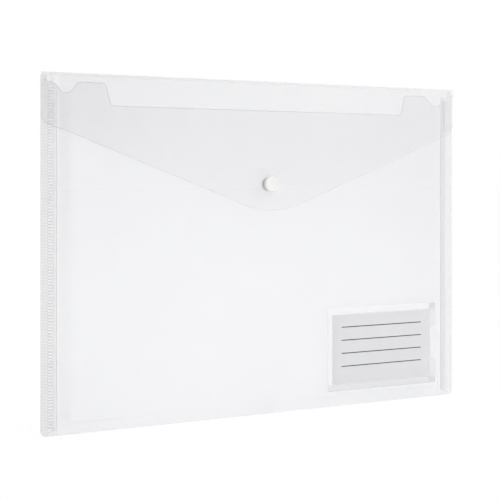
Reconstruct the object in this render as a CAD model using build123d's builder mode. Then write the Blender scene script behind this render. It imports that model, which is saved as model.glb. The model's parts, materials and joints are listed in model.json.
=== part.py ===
"""A4 document wallet: a clear folded film pouch with a snap flap and a label pocket.

Upright, as it is photographed: X runs along the fold, the front faces -Y and +Z is up.
The origin is the middle of the bottom edge. Sizes are in millimetres.
A depth is measured forwards from the outside of the back panel.
"""

from math import atan2, cos, sin, tan
import os

from build123d import *

# Sheet and pouch
wallet_width = 330.0
wallet_height = 240.0
film = 0.3
pouch_gap = 5.4
mouth_gap = 4.15
ear_gap = 2.4
shoulder_drop = 58.0
pouch_ramp = 6.5
pouch_margin = 0.5
pouch_edge_radius = 8.0
corner_radius = 2.5

# Welded side seams
seam_width = 11.0
seam_drop = 6.2
seam_top_radius = 2.5
rib_band_height = 0.15
outer_band_start = 2.2
outer_band_width = 2.3
inner_band_width = 5.9
rib_band_inset = 3.0

# Top edge of the front panel: distances from the side edges and drops below the fold
notch_place = 17.3
notch_drop = 13.5
notch_radius = 2.5
ear_start = 24.7
ear_end = 43.4
ear_drop = 6.2
ear_radius = 2.5
recess_start = 47.0
recess_drop = 21.5
recess_radius = 3.0

# Flap and its fold
flap_inset = 1.2
flap_side_drop = 32.8
flap_tip_drop = 97.3
flap_corner_radius = 8.0
flap_tip_radius = 62.0
flap_clearance = 0.25
hinge_gap = 0.15

# Snap fastener
snap_drop = 74.0
snap_standoff = 4.0
cap_radius = 6.2
cap_height = 1.9
cap_edge_radius = 0.8
cap_dimple_radius = 1.6
cap_dimple_depth = 0.25
rivet_radius = 0.9
rivet_clearance = 0.1
socket_radius = 5.8
socket_height = 2.6
socket_floor = 0.8
socket_bore_radius = 2.75
socket_lip = 0.25
socket_lip_height = 0.3
stud_radius = 5.8
stud_base = 0.7
stud_head_radius = 2.35
stud_neck_radius = 2.0
stud_neck_height = 1.25
stud_head_height = 0.65
backing_radius = 6.0
backing_height = 0.8
backing_edge_radius = 0.3

# Label pocket and card
pocket_inset = 20.7
pocket_bottom = 12.5
pocket_width = 95.5
pocket_height = 61.5
pocket_film = 0.25
pocket_gap = 0.8
weld_left = 3.8
weld_top = 5.0
weld_bottom = 4.4
thumb_notch_height = 26.5
thumb_notch_start = 17.5
thumb_notch_depth = 5.2
thumb_notch_radius = 3.0
pocket_corner_radius = 1.0
card_thickness = 0.3
card_clearance = 0.3

# Tolerance for telling corners apart
same_place = 0.01

# Heights above the bottom edge
ear_height = wallet_height - ear_drop
recess_height = wallet_height - recess_drop
shoulder_height = wallet_height - shoulder_drop
snap_height = wallet_height - snap_drop

# Depths, forwards from the outside of the back panel
front_inside = film + pouch_gap
front_outside = front_inside + film
mouth_inside = film + mouth_gap
ear_inside = film + ear_gap

# The flap leans from the front panel's recess out to the snap, and the fold is as wide as its root
flap_at_recess = mouth_inside + film + flap_clearance
flap_at_snap = front_outside + snap_standoff
flap_tilt = atan2(flap_at_snap - flap_at_recess, recess_height - snap_height)
root_rise = wallet_height - film / 2 - recess_height
flap_root_inside = (flap_at_recess - root_rise * tan(flap_tilt)) / (1 - tan(flap_tilt) / 2)
fold_radius = (flap_root_inside - film) / 2
fold_depth = film + fold_radius
fold_height = wallet_height - fold_radius - film
cap_middle = flap_at_snap + (film + cap_height - cap_edge_radius) * cos(flap_tilt)
cap_reach = cap_middle + (cap_radius - cap_edge_radius) * sin(flap_tilt) + cap_edge_radius
back_face = cap_reach / 2

# Half widths, slopes and runs
half_width = wallet_width / 2
seam_line = half_width - seam_width
ramp_line = seam_line - pouch_margin
overrun = film
flap_half_width = half_width - flap_inset
ramp_slope = atan2(pouch_gap, pouch_ramp)
ramp_run = (pouch_gap + overrun) / tan(ramp_slope)
lean_run = overrun * (recess_height - shoulder_height) / (pouch_gap - mouth_gap)
rivet_hole = rivet_radius + rivet_clearance
rivet_reach = stud_base + stud_neck_height
stud_height = snap_height - (snap_standoff - rivet_reach) * tan(flap_tilt)


def at_depth(depth):
    """Plane facing forwards at a depth: its x is X, its y is Z, and it extrudes forwards."""
    return Plane.XZ.offset(depth - back_face)


def on_flap(drop, lift):
    """Plane on the flap, a drop below the fold's middle and lifted off the inside of the flap."""
    along = drop / cos(flap_tilt)
    start = Vector(0, back_face - flap_root_inside, fold_height)
    down = Vector(0, -sin(flap_tilt), -cos(flap_tilt))
    outward = Vector(0, -cos(flap_tilt), sin(flap_tilt))
    return Plane(start + down * along + outward * lift, x_dir=(1, 0, 0), z_dir=outward)


def mirrored(points):
    """Points of a left half, from the side to the middle, followed by their mirror image."""
    return points + [(-x, y) for x, y in reversed(points)]


def side_seam(side):
    """Fused margin of both films down one side, with two raised bands for the weld ribs."""
    outer_edge = side * half_width
    inner_edge = side * seam_line
    top = wallet_height - seam_drop
    with BuildPart() as seam:
        with BuildSketch(at_depth(0)) as strip:
            with BuildLine():
                Polyline(
                    (inner_edge, 0),
                    (outer_edge, 0),
                    (outer_edge, top),
                    (inner_edge, top),
                    close=True,
                )
            make_face()
            corners = strip.vertices()
            inner_corners = corners.group_by(Axis.X)[0 if side > 0 else -1]
            outer_corners = corners.group_by(Axis.X)[-1 if side > 0 else 0]
            fillet(outer_corners.sort_by(Axis.Y)[0], corner_radius)
            fillet(inner_corners.sort_by(Axis.Y)[-1], seam_top_radius)
        extrude(amount=2 * film)
        outer_band = half_width - outer_band_start - outer_band_width / 2
        inner_band = seam_line + inner_band_width / 2
        with BuildSketch(at_depth(2 * film)):
            with Locations((side * outer_band, top / 2)):
                Rectangle(outer_band_width, top - 2 * rib_band_inset)
            with Locations((side * inner_band, top / 2)):
                Rectangle(inner_band_width, top - 2 * rib_band_inset)
        extrude(amount=rib_band_height)
    return seam.part


# Back panel: flat film, as wide as the wallet only above the seams
with BuildPart() as back_panel:
    with BuildSketch(at_depth(0)):
        with BuildLine():
            Polyline(
                *mirrored(
                    [
                        (-half_width, fold_height),
                        (-half_width, wallet_height - seam_drop),
                        (-seam_line, wallet_height - seam_drop),
                        (-seam_line, 0),
                    ]
                ),
                close=True,
            )
        make_face()
    extrude(amount=film)
back_panel.part.label = "back_panel"

# Pouch: the room between the panels, sloped at the sides and the bottom and narrower at its mouth
with BuildPart() as pouch_room:
    with BuildSketch(Plane.XY.offset(-overrun)) as room_across:
        with BuildLine():
            left = [
                (-ramp_line, back_face - film),
                (pouch_ramp - ramp_line, back_face - front_inside),
            ]
            Polyline(*mirrored(left), close=True)
        make_face()
        fillet(room_across.vertices().group_by(Axis.Y)[0], pouch_edge_radius)
    extrude(amount=wallet_height + 2 * overrun)
    with BuildSketch(Plane.YZ.offset(-half_width)):
        with BuildLine():
            Polyline(
                (back_face - film + overrun, pouch_margin - overrun / tan(ramp_slope)),
                (back_face - front_inside - overrun, pouch_margin + ramp_run),
                (back_face - front_inside - overrun, shoulder_height - lean_run),
                (back_face - mouth_inside, recess_height),
                (back_face - ear_inside, ear_height),
                (back_face - ear_inside, wallet_height),
                (back_face - film + overrun, wallet_height),
                close=True,
            )
        make_face()
    extrude(amount=wallet_width, mode=Mode.INTERSECT)

# Front skin: film sprung forwards over the pouch, cut to its ears, notches and recess
mitre = film * tan(ramp_slope / 2)
with BuildPart() as front_skin:
    with BuildSketch(Plane.XY.offset(-overrun)) as skin_across:
        with BuildLine():
            left = [
                (-seam_line, back_face - film),
                (-seam_line, back_face - 2 * film),
                (-ramp_line - mitre, back_face - 2 * film),
                (pouch_ramp - ramp_line - mitre, back_face - front_outside),
            ]
            Polyline(*mirrored(left), close=True)
        make_face()
        fillet(skin_across.vertices().group_by(Axis.Y)[0], pouch_edge_radius + film)
    extrude(amount=wallet_height + 2 * overrun)
    with BuildSketch(Plane.YZ.offset(-half_width)):
        with BuildLine():
            Polyline(
                (back_face - film + overrun, 0),
                (back_face - 2 * film, 0),
                (back_face - 2 * film, pouch_margin - mitre),
                (back_face - front_outside - overrun, pouch_margin - mitre + ramp_run),
                (back_face - front_outside - overrun, shoulder_height - lean_run),
                (back_face - mouth_inside - film, recess_height),
                (back_face - ear_inside - film, ear_height),
                (back_face - ear_inside - film, wallet_height),
                (back_face - film + overrun, wallet_height),
                close=True,
            )
        make_face()
    extrude(amount=wallet_width, mode=Mode.INTERSECT)
    add(pouch_room.part, mode=Mode.SUBTRACT)
    with BuildSketch(at_depth(0)) as outline:
        with BuildLine():
            Polyline(
                *mirrored(
                    [
                        (-seam_line, 0),
                        (-seam_line, wallet_height - seam_drop),
                        (notch_place - half_width, wallet_height - notch_drop),
                        (ear_start - half_width, ear_height),
                        (ear_end - half_width, ear_height),
                        (recess_start - half_width, recess_height),
                    ]
                ),
                close=True,
            )
        make_face()
        for place, radius in (
            (notch_place, notch_radius),
            (ear_start, ear_radius),
            (ear_end, ear_radius),
            (recess_start, recess_radius),
        ):
            spots = outline.vertices().filter_by(
                lambda v: abs(abs(v.X) - (half_width - place)) < same_place
            )
            fillet(spots, radius)
    extrude(amount=cap_reach, mode=Mode.INTERSECT)
    with BuildSketch(at_depth(0)):
        with Locations((0, stud_height)):
            Circle(rivet_hole)
    extrude(amount=cap_reach, mode=Mode.SUBTRACT)

# Front panel: the skin up to its shoulder
with BuildPart() as front_panel:
    add(front_skin.part)
    split(bisect_by=Plane.XY.offset(shoulder_height), keep=Keep.BOTTOM)
front_panel.part.label = "front_panel"

# Pouch mouth: the skin above the shoulder, which leans back to its ears
with BuildPart() as pouch_mouth:
    add(front_skin.part)
    split(bisect_by=Plane.XY.offset(shoulder_height), keep=Keep.TOP)
pouch_mouth.part.label = "pouch_mouth"

# Side seams
left_side_seam = side_seam(-1)
left_side_seam.label = "left_side_seam"
right_side_seam = side_seam(1)
right_side_seam.label = "right_side_seam"

# Top fold: the half-round strip of film that bends when the flap swings
with BuildPart() as fold_hinge:
    with BuildSketch(Plane.YZ):
        with Locations((back_face - fold_depth, fold_height)):
            Circle(fold_radius + film)
            Circle(fold_radius, mode=Mode.SUBTRACT)
        with Locations((back_face - fold_depth, 0)):
            Rectangle(wallet_height, fold_height, align=(Align.CENTER, Align.MIN), mode=Mode.SUBTRACT)
    extrude(amount=flap_half_width, both=True)
fold_hinge.part.label = "fold_hinge"

# Flap: flat film with V-shaped lower edges and a rounded tip
side_run = flap_side_drop - (wallet_height - fold_height)
tip_run = flap_tip_drop - (wallet_height - fold_height)
with BuildPart() as flap:
    with BuildSketch(on_flap(0, 0)) as flap_outline:
        with BuildLine():
            Polyline(
                (0, -tip_run),
                (-flap_half_width, -side_run),
                (-flap_half_width, -hinge_gap),
                (flap_half_width, -hinge_gap),
                (flap_half_width, -side_run),
                close=True,
            )
        make_face()
        lower_points = flap_outline.vertices().sort_by(Axis.Y)[0:3]
        fillet(lower_points[0], flap_tip_radius)
        fillet(lower_points[1:3], flap_corner_radius)
    extrude(amount=film)
    with BuildSketch(on_flap(fold_height - snap_height, 0)):
        Circle(rivet_hole)
    extrude(amount=film, mode=Mode.SUBTRACT)
flap.part.label = "flap"

# Snap cap: round head on the outside of the flap, its rivet reaches through film and socket
with BuildPart() as snap_cap:
    with BuildSketch(on_flap(fold_height - snap_height, film)):
        Circle(cap_radius)
    extrude(amount=cap_height)
    fillet(snap_cap.faces().sort_by(Axis.Y)[0].edges(), cap_edge_radius)
    with BuildSketch(on_flap(fold_height - snap_height, film + cap_height - cap_dimple_depth)):
        Circle(cap_dimple_radius)
    extrude(amount=cap_dimple_depth, mode=Mode.SUBTRACT)
    with BuildSketch(on_flap(fold_height - snap_height, film)):
        Circle(rivet_radius)
    extrude(amount=-film - socket_floor)
snap_cap.part.label = "snap_cap"

# Snap socket: cup on the inside of the flap, with a springy lip at its mouth
with BuildPart() as snap_socket:
    with BuildSketch(on_flap(fold_height - snap_height, -socket_height)):
        Circle(socket_radius)
    extrude(amount=socket_height)
    with BuildSketch(on_flap(fold_height - snap_height, -socket_height)):
        Circle(socket_bore_radius - socket_lip)
    extrude(amount=socket_lip_height, mode=Mode.SUBTRACT)
    with BuildSketch(on_flap(fold_height - snap_height, socket_lip_height - socket_height)):
        Circle(socket_bore_radius)
    extrude(amount=socket_height - socket_floor - socket_lip_height, mode=Mode.SUBTRACT)
    with BuildSketch(on_flap(fold_height - snap_height, -socket_floor)):
        Circle(rivet_hole)
    extrude(amount=socket_floor, mode=Mode.SUBTRACT)
snap_socket.part.label = "snap_socket"

# Snap stud: disc on the outside of the front panel with a headed nub, bored for its rivet
with BuildPart() as snap_stud:
    with BuildSketch(at_depth(front_outside)):
        with Locations((0, stud_height)):
            Circle(stud_radius)
    extrude(amount=stud_base)
    with BuildSketch(at_depth(front_outside + stud_base)):
        with Locations((0, stud_height)):
            Circle(stud_neck_radius)
    extrude(amount=stud_neck_height)
    with BuildSketch(at_depth(front_outside + rivet_reach)):
        with Locations((0, stud_height)):
            Circle(stud_head_radius)
    extrude(amount=stud_head_height)
    with BuildSketch(at_depth(front_outside)):
        with Locations((0, stud_height)):
            Circle(rivet_hole)
    extrude(amount=rivet_reach + rivet_clearance, mode=Mode.SUBTRACT)
snap_stud.part.label = "snap_stud"

# Backing cap: flat head inside the pouch whose rivet holds the stud
with BuildPart() as snap_backing:
    with BuildSketch(at_depth(front_inside)):
        with Locations((0, stud_height)):
            Circle(backing_radius)
    extrude(amount=-backing_height)
    fillet(snap_backing.faces().sort_by(Axis.Y)[-1].edges(), backing_edge_radius)
    with BuildSketch(at_depth(front_inside)):
        with Locations((0, stud_height)):
            Circle(rivet_radius)
    extrude(amount=film + rivet_reach)
snap_backing.part.label = "snap_backing"

# Label pocket: film over the lower right of the front panel, open and thumb-notched at its right
pocket_right = half_width - pocket_inset
pocket_left = pocket_right - pocket_width
pocket_top = pocket_bottom + pocket_height
thumb_notch_top = pocket_top - thumb_notch_start
with BuildPart() as label_pocket_film:
    with BuildSketch(at_depth(front_outside + pocket_gap)) as cover:
        with BuildLine():
            Polyline(
                (pocket_left, pocket_bottom),
                (pocket_right, pocket_bottom),
                (pocket_right, thumb_notch_top - thumb_notch_height),
                (pocket_right - thumb_notch_depth, thumb_notch_top - thumb_notch_height),
                (pocket_right - thumb_notch_depth, thumb_notch_top),
                (pocket_right, thumb_notch_top),
                (pocket_right, pocket_top),
                (pocket_left, pocket_top),
                close=True,
            )
        make_face()
        notch_corners = cover.vertices().filter_by(
            lambda v: abs(v.X - pocket_right + thumb_notch_depth) < same_place
        )
        fillet(notch_corners, thumb_notch_radius)
        pocket_corners = cover.vertices().group_by(Axis.X)[0]
        fillet(pocket_corners, pocket_corner_radius)
    extrude(amount=pocket_film)
label_pocket_film.part.label = "label_pocket_film"

# Pocket weld: the border fused to the front panel along the left, top and bottom
with BuildPart() as label_pocket_weld:
    with BuildSketch(at_depth(front_outside)) as border:
        with BuildLine():
            Polyline(
                (pocket_right, pocket_bottom),
                (pocket_left, pocket_bottom),
                (pocket_left, pocket_top),
                (pocket_right, pocket_top),
                (pocket_right, pocket_top - weld_top),
                (pocket_left + weld_left, pocket_top - weld_top),
                (pocket_left + weld_left, pocket_bottom + weld_bottom),
                (pocket_right, pocket_bottom + weld_bottom),
                close=True,
            )
        make_face()
        border_corners = border.vertices().group_by(Axis.X)[0]
        fillet(border_corners, pocket_corner_radius)
    extrude(amount=pocket_gap)
label_pocket_weld.part.label = "label_pocket_weld"

# Label card: loose in the pocket, its right edge level with the thumb notch
card_left = pocket_left + weld_left + card_clearance
card_right = pocket_right - thumb_notch_depth
card_bottom = pocket_bottom + weld_bottom + card_clearance
card_top = pocket_top - weld_top - card_clearance
card_depth = front_outside + (pocket_gap - card_thickness) / 2
with BuildPart() as label_card:
    with BuildSketch(at_depth(card_depth)):
        with Locations((card_left, card_bottom)):
            Rectangle(card_right - card_left, card_top - card_bottom, align=(Align.MIN, Align.MIN))
    extrude(amount=card_thickness)
label_card.part.label = "label_card"

os.makedirs("parts", exist_ok=True)
export_step(back_panel.part, "parts/back_panel.step")
export_step(front_panel.part, "parts/front_panel.step")
export_step(pouch_mouth.part, "parts/pouch_mouth.step")
export_step(left_side_seam, "parts/left_side_seam.step")
export_step(right_side_seam, "parts/right_side_seam.step")
export_step(fold_hinge.part, "parts/fold_hinge.step")
export_step(flap.part, "parts/flap.step")
export_step(snap_cap.part, "parts/snap_cap.step")
export_step(snap_socket.part, "parts/snap_socket.step")
export_step(snap_stud.part, "parts/snap_stud.step")
export_step(snap_backing.part, "parts/snap_backing.step")
export_step(label_pocket_film.part, "parts/label_pocket_film.step")
export_step(label_pocket_weld.part, "parts/label_pocket_weld.step")
export_step(label_card.part, "parts/label_card.step")
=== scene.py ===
"""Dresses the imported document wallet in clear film, weld ribs, a moulded snap and a ruled label card."""

import json
import math

import bmesh
import bpy
from bpy.props import FloatProperty, FloatVectorProperty, IntProperty, PointerProperty
from bpy.types import Operator, Panel, PropertyGroup
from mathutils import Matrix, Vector


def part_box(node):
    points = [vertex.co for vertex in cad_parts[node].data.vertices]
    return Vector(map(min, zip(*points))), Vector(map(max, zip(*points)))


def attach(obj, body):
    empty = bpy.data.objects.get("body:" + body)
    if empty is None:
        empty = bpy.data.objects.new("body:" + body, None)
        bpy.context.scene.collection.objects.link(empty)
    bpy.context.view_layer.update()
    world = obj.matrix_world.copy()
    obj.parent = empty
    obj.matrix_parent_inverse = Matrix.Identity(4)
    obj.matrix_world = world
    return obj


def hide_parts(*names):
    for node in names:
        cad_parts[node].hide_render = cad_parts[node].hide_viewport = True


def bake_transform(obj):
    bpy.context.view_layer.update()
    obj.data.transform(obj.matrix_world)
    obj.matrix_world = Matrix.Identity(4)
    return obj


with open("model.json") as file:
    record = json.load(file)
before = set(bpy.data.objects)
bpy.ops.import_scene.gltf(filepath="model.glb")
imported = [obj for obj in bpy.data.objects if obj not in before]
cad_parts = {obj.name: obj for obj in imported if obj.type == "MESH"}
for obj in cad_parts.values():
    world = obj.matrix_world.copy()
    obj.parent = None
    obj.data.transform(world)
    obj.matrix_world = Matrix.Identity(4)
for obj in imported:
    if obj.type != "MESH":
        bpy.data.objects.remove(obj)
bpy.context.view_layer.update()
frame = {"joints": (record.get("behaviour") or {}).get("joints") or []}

bl_info = {
    "name": "Document Wallet",
    "version": (1, 0, 0),
    "blender": (4, 5, 0),
    "location": "View3D > Sidebar > Wallet",
    "description": "Clear film wallet with a snap flap, ribbed side welds and a label pocket",
    "category": "Object",
}

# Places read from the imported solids, in metres
BACK_LOW, BACK_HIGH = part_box("back_panel")
MOUTH_LOW, MOUTH_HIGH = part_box("pouch_mouth")
SEAM_LOW, SEAM_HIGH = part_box("right_side_seam")
FOLD_LOW, FOLD_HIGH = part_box("fold_hinge")
FLAP_LOW, FLAP_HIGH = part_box("flap")
STUD_LOW, STUD_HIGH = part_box("snap_stud")
BORDER_LOW, BORDER_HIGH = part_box("label_pocket_weld")
CARD_LOW, CARD_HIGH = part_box("label_card")
HINGE = Vector(frame["joints"][0]["pos_m"])

HALF_WIDTH = BACK_HIGH.x
FILM = BACK_HIGH.y - BACK_LOW.y
BACK = BACK_HIGH.y
SEAM_LINE = SEAM_LOW.x
SEAM_TOP = SEAM_HIGH.z
SEAM_FACE = BACK - 2 * FILM
FRONT_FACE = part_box("front_panel")[0].y
COVER_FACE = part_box("label_pocket_film")[0].y
FOLD = HINGE.z
FLAP_ROOT = FOLD_LOW.y
FLAP_LEAN = (FLAP_ROOT - FLAP_LOW.y) / (FOLD - FLAP_LOW.z)
SHOULDER = MOUTH_LOW.z
FLAP_REACH = FLAP_HIGH.x + 0.0008

# Axes of the upright sheets
ACROSS, UP = 0, 2

# Details of the welds, as distances from the middle of the wallet, in metres
INNER_RIBS = (0.1546, 0.1598)
OUTER_RIBS = (0.1602, 0.1645)
INNER_BAND = (0.1546, 0.1583)
COLUMN_LINE = (0.1602, 0.1606)
RIB_MIDDLE = 0.1585

# Share of the pitch that a rib takes
RIB_SHARE = 0.5

# Heights on the wallet, in metres
FIRST_RIB = 0.0050
FLAP_SIDE = 0.2072
HOOD = (0.203, 0.209)
MOUTH_CORNER = 0.2310

# Tolerance for telling places apart, gap between layers of film, and the plastic's refraction
TINY = 1e-6
GAP = 0.00005
PLASTIC_IOR = 1.49

# Angles up to which faces are shaded as one, and from which edges are softened
SMOOTH_ANGLE, EDGE_ANGLE = math.radians(35), math.radians(60)


class WalletSizes(PropertyGroup):
    """Sizes of the details on the wallet."""

    cut_edge: FloatProperty(
        name="Cut edge", description="Rounding of the film's cut edges", default=0.00012, unit="LENGTH"
    )
    ramp: FloatProperty(
        name="Pouch edge", default=0.009, unit="LENGTH",
        description="Width over which the front film rises from the welds to the pouch",
    )
    foot_ramp: FloatProperty(
        name="Pouch foot", default=0.016, unit="LENGTH",
        description="Height over which the front film rises from the bottom edge to the pouch",
    )
    bead: FloatProperty(
        name="Edge bead", default=0.00025, unit="LENGTH",
        description="Radius of the bead along the film's cut edges",
    )
    corner: FloatProperty(
        name="Lower corners", description="Radius of the two lower corners", default=0.0035, unit="LENGTH"
    )
    flap_settle: FloatProperty(
        name="Flap margin", default=0.0195, unit="LENGTH",
        description="Width of the flap's side margins, which settle back onto the welds",
    )
    tip_fall: FloatProperty(
        name="Tip fall", default=0.0016, unit="LENGTH",
        description="How far the flap's tip bends back below the snap",
    )
    snap_drop: FloatProperty(
        name="Snap drop", description="Distance of the snap below the top fold", default=0.074, unit="LENGTH"
    )
    snap_radius: FloatProperty(
        name="Snap cap", description="Radius of the snap's cap", default=0.00575, unit="LENGTH"
    )
    socket_radius: FloatProperty(
        name="Snap socket", default=0.0051, unit="LENGTH",
        description="Radius of the snap's socket, stud and backing",
    )
    rib_pitch: FloatProperty(
        name="Rib pitch", description="Distance from one weld rib to the next", default=0.002, unit="LENGTH"
    )
    rib_height: FloatProperty(
        name="Rib height", default=0.00015, unit="LENGTH",
        description="How far the weld ribs stand off the strip",
    )
    line_pitch: FloatProperty(
        name="Line pitch", default=0.0097, unit="LENGTH",
        description="Distance from one ruled line of the card to the next",
    )
    line_width: FloatProperty(
        name="Line width", description="Width of the card's ruled lines", default=0.0007, unit="LENGTH"
    )
    lines: IntProperty(name="Lines", description="Number of ruled lines on the card", default=4, min=1)


class WalletColours(PropertyGroup):
    """Colours of the wallet and the floor."""

    film: FloatVectorProperty(
        name="Film", description="Tint of the clear film", subtype="COLOR", default=(0.80, 0.80, 0.835)
    )
    flap: FloatVectorProperty(
        name="Flap", description="Tint of the flap's film", subtype="COLOR", default=(0.72, 0.72, 0.735)
    )
    # Painted shade: the cut-edge lines are darkened for the light that their rounded edges bend away, and
    # the faint outer ribs take this colour as their shadowed sides.
    line: FloatVectorProperty(
        name="Cut line", subtype="COLOR", default=(0.52, 0.52, 0.53),
        description="Colour of the dark lines along cut edges and between the weld ribs",
    )
    # Painted shade: the shadowed sides of the pressed ribs.
    rib: FloatVectorProperty(
        name="Ribs", subtype="COLOR", default=(0.68, 0.68, 0.69),
        description="Colour of the pressed ribs of the side welds",
    )
    weld: FloatVectorProperty(
        name="Weld", description="Colour of the welded strips", subtype="COLOR", default=(0.85, 0.85, 0.848)
    )
    snap: FloatVectorProperty(
        name="Snap", description="Colour of the moulded snap", subtype="COLOR", default=(0.86, 0.86, 0.842)
    )
    # Painted shade: the socket, stud and backing are the cap's plastic, painted darker for their shaded
    # sides.
    socket: FloatVectorProperty(
        name="Snap body", subtype="COLOR", default=(0.66, 0.66, 0.648),
        description="Colour of the snap's socket, stud and backing, a shade darker than the cap",
    )
    border: FloatVectorProperty(
        name="Pocket border", subtype="COLOR", default=(1.0, 1.0, 1.0),
        description="Colour of the label pocket's fused border",
    )
    # On the lip, right of the card, this grey is partly the two films over the front sheet and partly
    # painted shadow.
    lip: FloatVectorProperty(
        name="Pocket lip", subtype="COLOR", default=(0.84, 0.84, 0.855),
        description="Colour of the label pocket's film to the right of the card",
    )
    card: FloatVectorProperty(
        name="Card", description="Colour of the label card", subtype="COLOR", default=(0.745, 0.745, 0.755)
    )
    ink: FloatVectorProperty(
        name="Ink", description="Colour of the ruled lines", subtype="COLOR", default=(0.03, 0.03, 0.035)
    )
    floor: FloatVectorProperty(
        name="Floor", description="Colour of the studio floor", subtype="COLOR", default=(0.95, 0.95, 0.95)
    )


class WalletStage(PropertyGroup):
    """Camera and light."""

    camera: FloatVectorProperty(
        name="Camera", subtype="TRANSLATION", unit="LENGTH", default=(-0.347, -0.68375, 0.1676),
        description="Place of the camera",
    )
    turn: FloatProperty(
        name="Turn", subtype="ANGLE", default=math.radians(25.884),
        description="Turn of the camera to the right",
    )
    lens: FloatProperty(name="Lens", description="Focal length in millimetres", default=76.87)
    shift: FloatProperty(name="Shift", description="Downward shift of the frame", default=0.1365)
    dark_side: FloatProperty(
        name="Dark side", subtype="FACTOR", default=0.2,
        description="Brightness of the studio's dark left side",
    )


# Modelling


def wallet_settings(context):
    """The sizes and colours that the user can change."""
    return context.scene.wallet_sizes, context.scene.wallet_colours


def ease(value):
    """Smooth step from 0 to 1."""
    value = min(max(value, 0.0), 1.0)
    return value * value * (3 - 2 * value)


def choose(piece):
    """Make a piece the only selected and the active object."""
    bpy.ops.object.select_all(action="DESELECT")
    piece.select_set(True)
    bpy.context.view_layer.objects.active = piece


def flat_sheet(name, low, high, columns, rows):
    """Flat upright grid that faces the front, between two corners given as (x, z)."""
    bpy.ops.object.select_all(action="DESELECT")
    bpy.ops.mesh.primitive_grid_add(
        x_subdivisions=columns,
        y_subdivisions=rows,
        size=1,
        location=((low[0] + high[0]) / 2, 0, (low[1] + high[1]) / 2),
        rotation=(math.pi / 2, 0, 0),
    )
    sheet = bpy.context.object
    sheet.name = name
    sheet.scale = (high[0] - low[0], high[1] - low[1], 1)
    bpy.ops.object.transform_apply()
    return sheet


def block(name, low, high):
    """Box between two corners."""
    middle = [(a + b) / 2 for a, b in zip(low, high)]
    size = [b - a for a, b in zip(low, high)]
    bpy.ops.object.select_all(action="DESELECT")
    bpy.ops.mesh.primitive_cube_add(size=1, location=middle, scale=size)
    box = bpy.context.object
    box.name = name
    bpy.ops.object.transform_apply()
    return box


def pick_faces(piece, test):
    """Select, in edit mode, only the faces whose middle passes a test."""
    bpy.ops.mesh.select_mode(type="FACE")
    bpy.ops.mesh.select_all(action="DESELECT")
    mesh = bmesh.from_edit_mesh(piece.data)
    for face in mesh.faces:
        face.select_set(test(face.calc_center_median(), face.normal))
    mesh.select_flush_mode()
    bmesh.update_edit_mesh(piece.data)


def pick_edges(piece, test):
    """Select, in edit mode, only the edges whose two ends pass a test."""
    bpy.ops.mesh.select_mode(type="EDGE")
    bpy.ops.mesh.select_all(action="DESELECT")
    mesh = bmesh.from_edit_mesh(piece.data)
    for edge in mesh.edges:
        edge.select_set(all(test(vertex.co) for vertex in edge.verts))
    mesh.select_flush_mode()
    bmesh.update_edit_mesh(piece.data)


def score(piece, axis, places):
    """Cut lines across a piece at the given places along an axis, and keep both sides."""
    choose(piece)
    bpy.ops.object.mode_set(mode="EDIT")
    normal = [1 if index == axis else 0 for index in range(3)]
    for place in places:
        bpy.ops.mesh.select_all(action="SELECT")
        bpy.ops.mesh.bisect(plane_co=[place * part for part in normal], plane_no=normal, threshold=TINY)
    bpy.ops.object.mode_set(mode="OBJECT")


def rounded(corners, steps=5):
    """Points of a line given as (along, across, radius) corners, with its corners rounded."""
    points = []
    for index, (along, across, radius) in enumerate(corners):
        corner = Vector((along, across))
        if radius == 0:
            points.append(corner)
            continue
        before = (Vector(corners[index - 1][:2]) - corner).normalized()
        after = (Vector(corners[index + 1][:2]) - corner).normalized()
        half = before.angle(after) / 2
        middle = corner + (before + after).normalized() * radius / math.sin(half)
        first = corner + before * radius / math.tan(half) - middle
        last = corner + after * radius / math.tan(half) - middle
        for step in range(steps + 1):
            points.append(middle + first.lerp(last, step / steps).normalized() * radius)
    return points


def trim(sheet, line, axis, outward):
    """Cut a flat sheet along a line that runs along an axis, and delete what lies beyond it."""
    other = 2 - axis
    spans = [(start, end) for start, end in zip(line, line[1:]) if end[0] - start[0] > TINY]
    score(sheet, axis, [point[0] for point in line[1:-1]])
    bpy.ops.object.mode_set(mode="EDIT")
    for start, end in spans:
        pick_faces(sheet, lambda middle, _: start[0] < middle[axis] < end[0])
        place, normal = Vector(), Vector()
        place[axis], place[other] = start
        normal[axis], normal[other] = start[1] - end[1], end[0] - start[0]
        bpy.ops.mesh.bisect(plane_co=place, plane_no=normal.normalized(), threshold=TINY)

    def beyond(middle, _):
        for start, end in spans:
            if start[0] < middle[axis] < end[0]:
                part = (middle[axis] - start[0]) / (end[0] - start[0])
                return (middle[other] - start[1] - part * (end[1] - start[1])) * outward > 0
        return False

    pick_faces(sheet, beyond)
    bpy.ops.mesh.delete(type="FACE")
    bpy.ops.object.mode_set(mode="OBJECT")


def lay(sheet, surface):
    """Move each point of a flat sheet to the depth that a surface has there."""
    for vertex in sheet.data.vertices:
        vertex.co.y = surface(vertex.co.x, vertex.co.z)


def apply_all(piece):
    """Apply a piece's modifiers in order."""
    choose(piece)
    for modifier in list(piece.modifiers):
        bpy.ops.object.modifier_apply(modifier=modifier.name)


def coat(piece, *materials):
    """Give a piece its materials, which its walls and edges are then made in."""
    piece.data.materials.clear()
    for material in materials:
        piece.data.materials.append(material)


def soften(piece, name, width):
    """Rounding modifier for the sharp edges of a piece."""
    rim = piece.modifiers.new(name, "BEVEL")
    rim.width = width
    rim.segments = 2
    rim.limit_method = "ANGLE"
    rim.angle_limit = EDGE_ANGLE
    return rim


def chamfer_front(piece, offset, segments):
    """Bevel the edges of the face that looks to the front."""
    bpy.ops.object.mode_set(mode="EDIT")
    pick_faces(piece, lambda place, normal: normal.y < -0.5)
    bpy.ops.mesh.bevel(offset=offset, segments=segments, affect="EDGES")
    bpy.ops.object.mode_set(mode="OBJECT")


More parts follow.
